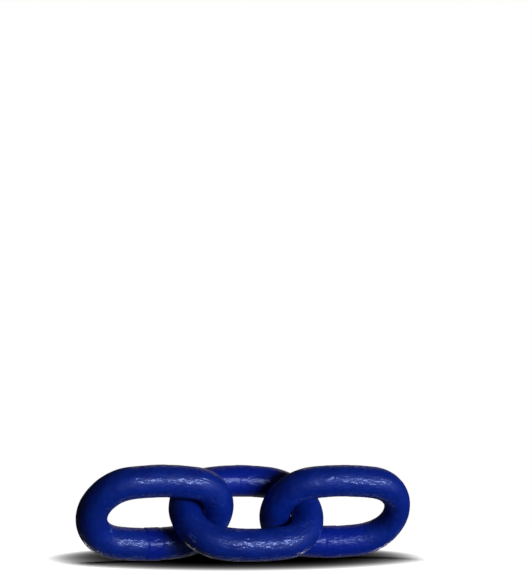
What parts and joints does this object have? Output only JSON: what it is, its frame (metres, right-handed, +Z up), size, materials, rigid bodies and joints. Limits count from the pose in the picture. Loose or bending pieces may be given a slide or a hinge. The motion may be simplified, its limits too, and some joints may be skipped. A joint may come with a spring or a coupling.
{
  "type": "three-link length of round steel chain",
  "caption": "Short link lifting chain in round bar: welded oblong links threaded through each other, the outer ones free to swing.",
  "frame": {"origin": "on the floor, under the middle of the chain's box", "axes": "+X along the chain towards the right link, +Y from the viewer to the back, +Z up"},
  "size_m": [0.1402, 0.0356, 0.0382],
  "materials": {
    "link_left_lacquer": "semi-gloss deep blue lacquer over hot-scaled steel bar",
    "link_middle_lacquer": "semi-gloss deep blue lacquer over hot-scaled steel bar",
    "link_right_lacquer": "semi-gloss deep blue lacquer over hot-scaled steel bar"
  },
  "bodies": {
    "left_link": {"link_left": "link_left_lacquer"},
    "middle_link": {"link_middle": "link_middle_lacquer"},
    "right_link": {"link_right": "link_right_lacquer"}
  },
  "joints": [
    {"name": "left_swing", "type": "hinge", "parent": "middle_link", "child": "left_link", "pos_m": [-0.02532, 0.00131, 0.01916], "axis": [-0.0273, 0.7821, 0.6225], "range_deg": [0, 90]},
    {"name": "right_swing", "type": "hinge", "parent": "middle_link", "child": "right_link", "pos_m": [0.02668, 0.00131, 0.01916], "axis": [-0.0737, -0.7791, -0.6225], "range_deg": [0, 90]}
  ]
}
